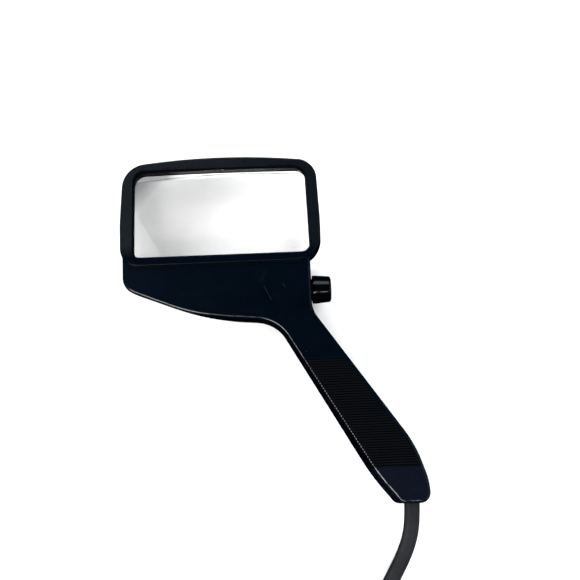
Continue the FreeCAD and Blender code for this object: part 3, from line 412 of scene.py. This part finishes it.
def zones(m, colour, kind):
    """Tone by place, mostly painted light and shade: a painted lighter left end on the chin, painted
    highlights on the grip rib tops and painted shade in their grooves, a bluish end pad, a painted
    darker right side and bottom band on the bezel, and painted shade in its bore.
    """
    x, y, z = m.axes()
    if kind == "housing":
        # Painted light: the chin is lighter towards its left end.
        painted_left_light = m.span(x, -52.0, 24.0, 0.5, 0.0)
        colour = m.mix(painted_left_light, colour, (0.0018, 0.0040, 0.0074))
        f = m.math("MULTIPLY", m.math("ADD", y, 83.2), -1.0 / 57.12)
        left = m.math("SUBTRACT", x, m.math("ADD", m.math("MULTIPLY", f, 34.2), 42.9))
        down = m.math("MAXIMUM", m.math("SUBTRACT", -120.3, y), 0.0)
        bend = m.math("MULTIPLY", m.math("MULTIPLY", down, down), 0.0092)
        line = m.math("SUBTRACT", 53.6, m.math("MULTIPLY", m.math("ADD", y, 67.55), 0.6976))
        right_ = m.math("SUBTRACT", m.math("SUBTRACT", line, bend), x)
        grip = m.math("MULTIPLY", m.inside(left, -0.3, None), m.inside(right_, -0.3, None))
        grip = m.math("MULTIPLY", grip, m.inside(y, -140.9, -82.6))
        # Painted highlight: the grip rib tops are lighter.
        rib_top_highlight = m.inside(z, 25.85, None, 0.1)
        colour = m.mix(m.math("MULTIPLY", grip, rib_top_highlight), colour, (0.0027, 0.0033, 0.0045))
        # Painted shade: the grip grooves are darker and reflect less.
        hollow = m.math("SUBTRACT", 1.0, m.inside(z, 25.7, None, 0.2))
        colour = m.mix(m.math("MULTIPLY", grip, hollow), colour, (0.0008, 0.0010, 0.0014))
        m.link(m.span(m.math("MULTIPLY", grip, hollow), 0.0, 1.0, 0.5, 0.12),
               m.s.inputs["Specular IOR Level"])
        pad = m.inside(y, None, -141.4, 0.6)
        colour = m.mix(m.math("MULTIPLY", pad, 0.7), colour, (0.0028, 0.0038, 0.0080))
        return colour
    # Painted shade: the bezel is darker towards its right side.
    side = m.span(x, -52.0, 52.0, 0.0, 1.0)
    colour = m.mix(m.math("MULTIPLY", side, 0.75), colour, (0.0006, 0.0016, 0.0034))
    # Painted shade: the bezel's bottom band is darker and reflects less.
    bottom_painted_shade = m.span(y, -24.5, -17.5, 1.0, 0.0)
    colour = m.mix(bottom_painted_shade, colour, (0.0002, 0.0012, 0.0034))
    # Painted shade: the bore's inner wall is darker and reflects nothing.
    bore = m.math("MULTIPLY", m.inside(x, -50.2, 50.2), m.inside(y, -25.8, 25.8))
    bore = m.math("MULTIPLY", bore, m.inside(z, None, 28.5, 0.15))
    dull = m.math("MAXIMUM", bore, m.math("MULTIPLY", bottom_painted_shade, 0.72))
    m.link(m.span(dull, 0.0, 1.0, 0.3, 0.0), m.s.inputs["Specular IOR Level"])
    return m.mix(bore, colour, (0.0022, 0.0028, 0.0034))


BODY = moulded("black_housing", (0.0001, 0.0009, 0.0024), (0.0005, 0.0019, 0.0042),
               rough=(0.13, 0.21), marks=1.0, specular=0.5, kind="housing")
BEZEL = moulded("black_bezel", (0.0038, 0.0054, 0.0073), (0.0066, 0.0084, 0.0106),
                rough=(0.26, 0.34), grain=0.000014, specular=0.3, kind="bezel")
KNOB = moulded("black_knob", (0.0003, 0.0004, 0.0006), (0.0009, 0.0010, 0.0013),
               rough=(0.12, 0.17), grain=0.000003)
PLUG = moulded("black_plug", (0.008, 0.008, 0.009), (0.014, 0.014, 0.016), rough=(0.38, 0.5),
               grain=0.00002)
TIE = moulded("black_tie", (0.010, 0.010, 0.012), (0.016, 0.016, 0.019), rough=(0.5, 0.62),
              grain=0.00002)
RUBBER = moulded("gasket_black", (0.012, 0.012, 0.012), (0.020, 0.020, 0.020),
                 rough=(0.65, 0.8), grain=0.00002)
PHENOLIC = moulded("brown_phenolic", (0.060, 0.022, 0.010), (0.110, 0.044, 0.020),
                   rough=(0.3, 0.45), grain=0.00002)
WHITE_WIRE = moulded("white_insulation", (0.66, 0.66, 0.62), (0.78, 0.78, 0.74),
                     rough=(0.35, 0.45))
BLACK_WIRE = moulded("black_insulation", (0.010, 0.010, 0.010), (0.018, 0.018, 0.018),
                     rough=(0.35, 0.45))
PORCELAIN = moulded("porcelain_glaze", (0.74, 0.73, 0.68), (0.84, 0.83, 0.79),
                    rough=(0.10, 0.18), grain=0.00001)
STEEL = metal("zinc_steel", (0.66, 0.66, 0.66), (0.44, 0.44, 0.45))
BRIGHT = metal("polished_reflector", (0.90, 0.90, 0.90), (0.78, 0.78, 0.79), (0.08, 0.18))
BRASS = metal("bright_brass", (0.80, 0.60, 0.30), (0.58, 0.41, 0.18))
# Almost black steel for the switch nut, washer and bushing: painted shade in the gap by the knob.
GAP_SHADE_STEEL = metal("steel_painted_gap_shade", (0.020, 0.020, 0.022), (0.012, 0.012, 0.013), (0.4, 0.55))
BLADE = metal("nickel_blades", (0.80, 0.76, 0.66), (0.60, 0.55, 0.45))


def cord_material():
    m = Mat("cord_jacket")
    big = m.noise(60.0, 4.0, 0.6)
    colour = m.ramp(big, [(0.3, (0.0060, 0.0070, 0.0085)), (0.75, (0.0112, 0.0125, 0.0148))])
    m.link(colour, m.s.inputs["Base Color"])
    m.link(m.span(m.noise(500.0, 4.0), 0.3, 0.7, 0.5, 0.66), m.s.inputs["Roughness"])
    m.bump(m.noise(1800.0, 4.0, 0.6), 0.00003, 0.9)
    m.set(Specular_IOR_Level=0.22)
    return m.m


def glass_colour(m, tint):
    tone = m.noise(35.0, 4.0, 0.6)
    return m.ramp(tone, [(0.3, tuple(c * 0.985 for c in tint)), (0.7, tint)])


def glass(name, tint, ior, rough=0.0, dust=0.02, toned=None):
    """Clear glass; lamps shine through it."""
    m = Mat(name)
    m.set(IOR=ior, Transmission_Weight=1.0)
    colour = glass_colour(m, tint)
    if toned is not None:
        colour = toned(m, colour)
    m.link(colour, m.s.inputs["Base Color"])
    m.link(m.span(m.noise(420.0, 5.0, 0.65), 0.55, 0.85, rough, rough + dust),
           m.s.inputs["Roughness"])
    path = node(m.t, "ShaderNodeLightPath", 300, 300)
    clear = node(m.t, "ShaderNodeBsdfTransparent", 400, 250)
    clear.inputs[0].default_value = (0.97, 0.97, 0.97, 1.0)
    mixer = node(m.t, "ShaderNodeMixShader", 600, 100)
    m.link(path.outputs["Is Shadow Ray"], mixer.inputs[0])
    m.link(m.s.outputs[0], mixer.inputs[1])
    m.link(clear.outputs[0], mixer.inputs[2])
    m.link(mixer.outputs[0], m.out.inputs[0])
    return m.m


def lens_painted_shading(m, tone):
    """Painted shade on the glass, darker towards the left end and the top-left corner and lighter
    towards the bottom; a painted light band along the top edge, with painted shade at its ends; and a
    thin dark line below the top edge.
    """
    x, y, z = m.axes()
    cloud = m.noise(38.0, 4.0, 0.6, m.mapped((0.35, 1.0, 1.0)))
    drift = m.math("MULTIPLY", m.math("SUBTRACT", cloud, 0.5), 14.0)
    lift = m.math("MULTIPLY", m.math("SUBTRACT", y, 18.0), 0.35)
    # Painted shade: the glass is darker towards the left end.
    stops = [(0.0, 0.40), (0.10, 0.44), (0.145, 0.475), (0.165, 0.508), (0.22, 0.522),
             (0.28, 0.515), (0.35, 0.500), (0.44, 0.495), (0.53, 0.540), (0.63, 0.610),
             (0.74, 0.685), (0.84, 0.730), (1.0, 0.780)]
    place = m.span(m.math("SUBTRACT", m.math("ADD", x, drift), lift), -56.0, 50.0, 0.0, 1.0)
    painted_shading = m.ramp(place, [(at, (v, v, v)) for at, v in stops])
    away = m.math("ADD", m.math("ADD", x, 50.8), m.math("SUBTRACT", 24.0, y))
    # Painted shade towards the top-left corner, painted light towards the bottom.
    corner_shade_bottom_light = m.math("MULTIPLY", m.span(away, 10.0, 26.0, 0.42, 1.0), m.span(y, -18.0, -3.0, 1.22, 1.0))
    painted_shading = m.scaled(painted_shading, corner_shade_bottom_light)
    # Painted light band along the top edge, with painted shade at its ends.
    arch = m.math("MULTIPLY", m.math("SUBTRACT", x, 14.0), m.math("SUBTRACT", x, 14.0))
    arch = m.math("SUBTRACT", 21.35, m.math("MULTIPLY", arch, 0.00068))
    above = m.inside(m.math("SUBTRACT", y, arch), 0.0, None, 0.5)
    bright = m.inside(x, -22.0, 46.0, 14.0)
    painted_shading = m.mix(m.math("MULTIPLY", above, m.math("SUBTRACT", 1.0, bright)), painted_shading, (0.30, 0.30, 0.30))
    painted_shading = m.mix(m.math("MULTIPLY", above, bright), painted_shading, (0.88, 0.88, 0.88))
    front = m.inside(z, 20.0, None, 1.0)
    gap = m.inside(m.math("SUBTRACT", y, arch), -0.30, 0.30, 0.3)
    broken = m.span(m.noise(60.0, 3.0, 0.6, m.mapped((1.0, 0.2, 0.2))), 0.35, 0.6, 0.45, 1.0)
    gap = m.math("MULTIPLY", m.math("MULTIPLY", gap, front), broken)
    gap = m.math("MULTIPLY", gap, m.inside(x, -46.0, 46.0, 1.0))
    painted_shading = m.mix(gap, painted_shading, (0.06, 0.06, 0.06))
    return painted_shading


# The lens colour carries painted shade and a painted light band.
LENS = glass("lens_glass", (0.985, 0.99, 0.988), 1.52, 0.0, 0.004, lens_painted_shading)
LAMP = glass("lamp_glass", (0.99, 0.99, 0.985), 1.5, 0.0, 0.02)


def frosted():
    m = Mat("frosted_window")
    m.link(m.ramp(m.noise(200.0, 3.0), [(0.3, (0.80, 0.82, 0.82)), (0.7, (0.88, 0.90, 0.90))]),
           m.s.inputs["Base Color"])
    m.link(m.span(m.noise(900.0, 3.0), 0.3, 0.7, 0.42, 0.6), m.s.inputs["Roughness"])
    m.bump(m.noise(1500.0, 3.0), 0.00003, 0.8)
    m.set(Transmission_Weight=0.6, IOR=1.49)
    return m.m


FROST = frosted()
CORD = cord_material()

PAINT = {
    "housing": BODY, "bezel": BEZEL, "knob_plastic": KNOB, "lens_glass": LENS,
    "lamp_glass": LAMP, "window_plastic": FROST, "gasket_rubber": RUBBER, "steel": STEEL,
    "bright_metal": BRIGHT, "brass": BRASS, "insulator": PHENOLIC, "porcelain": PORCELAIN,
    "cord_rubber": CORD, "wire_white": WHITE_WIRE, "wire_black": BLACK_WIRE, "tie_plastic": TIE,
    "plug_plastic": PLUG, "blade_metal": BLADE,
}
SLOT_OF = {s["node"]: s["material_slot"]
           for s in frame["record"].get("sub_parts", frame["record"].get("subparts", []))}
for name, ob in NODES.items():
    # The switch nut, washer and bushing get almost black steel as painted shade in the gap by the knob.
    mat = GAP_SHADE_STEEL if name in ("switch_nut", "switch_washer", "switch_bushing") else PAINT[SLOT_OF[name]]
    if not ob.material_slots:
        ob.data.materials.append(mat)
    for sl in ob.material_slots:
        sl.material = mat


def paint(ob, mat):
    ob.data.materials.clear()
    ob.data.materials.append(mat)


paint(cord, CORD)

# ------------------------------------------------------------------ the lens
# Biconvex rectangular lens, the CAD lens's own shape with a finer surface.
LW, LH, LR, LT, LRAD, LMID = 101.6, 50.8, 6.0, 11.0, 322.0, 20.0


def rounded_outline(w, h, r, per_corner=10, per_long=40, per_short=20):
    pts = []
    cs = [(w / 2 - r, h / 2 - r, 0), (-w / 2 + r, h / 2 - r, 90), (-w / 2 + r, -h / 2 + r, 180),
          (w / 2 - r, -h / 2 + r, 270)]
    for i, (x, y, a0) in enumerate(cs):
        for k in range(per_corner + 1):
            a = math.radians(a0 + 90.0 * k / per_corner)
            pts.append((x + r * math.cos(a), y + r * math.sin(a)))
        nx, ny, na = cs[(i + 1) % 4]
        sx, sy = pts[-1]
        ex, ey = nx + r * math.cos(math.radians(na)), ny + r * math.sin(math.radians(na))
        n = per_long if i % 2 == 0 else per_short
        for k in range(1, n):
            f = k / n
            pts.append((sx + (ex - sx) * f, sy + (ey - sy) * f))
    return pts


def lens_mesh():
    outline = rounded_outline(LW, LH, LR)
    n, rings = len(outline), 26
    verts, faces = [], []

    def z(x, y, s):
        rho2 = x * x + y * y
        return LMID + s * (LT / 2 - (LRAD - math.sqrt(LRAD * LRAD - rho2)))

    for s in (1, -1):
        base = len(verts)
        verts.append(P(0, 0, z(0, 0, s)))
        for k in range(1, rings + 1):
            f = k / rings
            for x, y in outline:
                verts.append(P(x * f, y * f, z(x * f, y * f, s)))
        for j in range(n):
            faces.append((base, base + 1 + j, base + 1 + (j + 1) % n))
        for k in range(rings - 1):
            a, b = base + 1 + k * n, base + 1 + (k + 1) * n
            for j in range(n):
                q = (j + 1) % n
                faces.append((a + j, b + j, b + q, a + q))
    half = 1 + rings * n
    a, b = 1 + (rings - 1) * n, half + 1 + (rings - 1) * n
    for j in range(n):
        q = (j + 1) % n
        faces.append((a + j, b + j, b + q, a + q))
    me = make_mesh("lens_blank", verts, faces, sharp=40)
    per = n * rings
    centre = [P(0, 0, LMID + s * (LT / 2 - LRAD)) for s in (1, -1)]
    normals = []
    for poly in me.polygons:
        for v in poly.vertices:
            at = me.vertices[v].co
            if poly.index < 2 * per:
                normals.append((at - centre[poly.index // per]).normalized())
            else:
                normals.append(poly.normal.copy())
    me.normals_split_custom_set(normals)
    return me


lens = link("lens_blank", lens_mesh())
paint(lens, LENS)
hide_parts("lens")
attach(lens, "housing")

# ------------------------------------------------------------------ the knob
# The CAD knob's smooth outer skin, turned finely: a soft taper, hollow over the switch nut.
KX, KY, KZ = 49.6, -43.7, 13.0


def knob_mesh():
    steps = 120
    profile = [(3.4, 2.52), (3.4, 6.7), (0.1, 6.7), (-0.15, 6.95), (-0.15, 7.55), (0.0, 7.78),
               (0.35, 7.90), (1.4, 7.87), (2.6, 7.76), (3.8, 7.63), (5.0, 7.53), (6.2, 7.44),
               (7.4, 7.35), (8.6, 7.26)]
    for k in range(1, 9):
        t = math.radians(90.0 * k / 8)
        profile.append((8.75 + 1.45 * math.sin(t), 5.79 + 1.45 * math.cos(t)))
    profile += [(10.12, 4.6), (10.05, 2.5), (10.05, 0.0)]
    start = [(7.8, 0.0), (7.8, 2.52)]
    rows = start + profile
    verts, faces, rings = [], [], []
    for x, r in rows:
        if r == 0.0:
            rings.append([len(verts)])
            verts.append(P(KX + x, KY, KZ))
            continue
        ring = []
        for j in range(steps):
            a = 2 * math.pi * j / steps
            ring.append(len(verts))
            verts.append(P(KX + x, KY + r * math.cos(a), KZ + r * math.sin(a)))
        rings.append(ring)
    for one, two in zip(rings, rings[1:]):
        for j in range(steps):
            k = (j + 1) % steps
            if len(one) == 1:
                faces.append((one[0], two[j], two[k]))
            elif len(two) == 1:
                faces.append((one[j], two[0], one[k]))
            else:
                faces.append((one[j], two[j], two[k], one[k]))
    return make_mesh("knob_skin", verts, faces, sharp=42)


def cylinder_mesh(name, radius, z0, z1, steps=48):
    verts, faces = [], []
    for z in (z0, z1):
        for j in range(steps):
            a = 2 * math.pi * j / steps
            verts.append(P(KX + 6.4 + radius * math.cos(a), KY + radius * math.sin(a), z))
    for j in range(steps):
        k = (j + 1) % steps
        faces.append((j, k, steps + k, steps + j))
    faces.append(tuple(range(steps - 1, -1, -1)))
    faces.append(tuple(range(steps, 2 * steps)))
    return make_mesh(name, verts, faces, sharp=40)


knob = link("knob_skin", knob_mesh())
drill = link("knob_drill", cylinder_mesh("knob_drill", 1.5, 4.0, 11.2))
cut = knob.modifiers.new("screw_hole", "BOOLEAN")
cut.operation = "DIFFERENCE"
cut.solver = "EXACT"
cut.object = drill
bpy.context.view_layer.update()
bored = bpy.data.meshes.new_from_object(knob.evaluated_get(bpy.context.evaluated_depsgraph_get()))
knob.modifiers.remove(cut)
knob.data = bored
bored.set_sharp_from_angle(angle=math.radians(42))
bpy.data.objects.remove(drill)
paint(knob, KNOB)
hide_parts("control_knob")
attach(knob, "switch_knob")
edge_count = {}
for poly in bored.polygons:
    for key in poly.edge_keys:
        edge_count[key] = edge_count.get(key, 0) + 1
print("knob faces", len(bored.polygons), "open edges", sum(1 for v in edge_count.values() if v != 2))

# ------------------------------------------------------------------ floor and light
fl = bpy.data.meshes.new("floor")
fl.from_pydata([(-3, -3, 0), (3, -3, 0), (3, 3, 0), (-3, 3, 0)], [], [(0, 1, 2, 3)])
fl.update()
floor = bpy.data.objects.new("floor", fl)
floor.location = (0, 0, -0.0002)
scene.collection.objects.link(floor)
fm = Mat("floor_white")
fm.link(fm.ramp(fm.noise(6.0, 2.0), [(0.3, (0.905, 0.905, 0.905)), (0.7, (0.915, 0.915, 0.915))]),
        fm.s.inputs["Base Color"])
fm.set(Roughness=0.9, Specular_IOR_Level=0.1)
floor.data.materials.append(fm.m)
floor.visible_glossy = False


def area(name, at, aim, size, power, size_y=None, colour=(1, 1, 1)):
    d = bpy.data.lights.new(name, "AREA")
    d.energy = power
    d.color = colour
    d.shape = "RECTANGLE" if size_y else "SQUARE"
    d.size = size
    if size_y:
        d.size_y = size_y
    ob = bpy.data.objects.new(name, d)
    ob.location = at
    ob.rotation_euler = (Vector(aim) - Vector(at)).to_track_quat("-Z", "Y").to_euler()
    scene.collection.objects.link(ob)
    return ob


area("key", (-0.56, -0.62, 1.02), (0, -0.02, 0), 0.62, 10.5, 0.34, (1.0, 0.99, 0.97))
area("strip", (0.06, -0.60, 1.20), (0.05, -0.04, 0), 0.50, 1.6, 0.05)
area("side", (1.25, -0.2, 0.72), (0, -0.02, 0.02), 1.6, 2.2, 1.2, (0.9, 0.96, 1.0))
area("back", (0.05, 1.25, 0.95), (0, 0, 0), 1.2, 5.0, 0.75, (0.76, 0.90, 1.0))
for tag, place, watts in (("a", (-1.15, 0.75, 1.25), 26.0), ("b", (1.2, 0.6, 1.3), 30.0),
                          ("c", (0.9, -1.1, 1.3), 22.0), ("d", (-0.4, -1.3, 1.3), 12.0)):
    soft = area("fill_" + tag, place, (0, 0, 0), 1.3, watts, 1.3)
    soft.visible_glossy = False

world = bpy.data.worlds.new("studio")
world.use_nodes = True
bg = world.node_tree.nodes["Background"]
bg.inputs[0].default_value = (0.74, 0.90, 1.0, 1.0)
bg.inputs[1].default_value = 0.09
scene.world = world
world.cycles_visibility.glossy = False
scene.view_settings.view_transform = "Standard"
scene.view_settings.look = "None"
scene.view_settings.exposure = 0.0

bpy.context.view_layer.update()
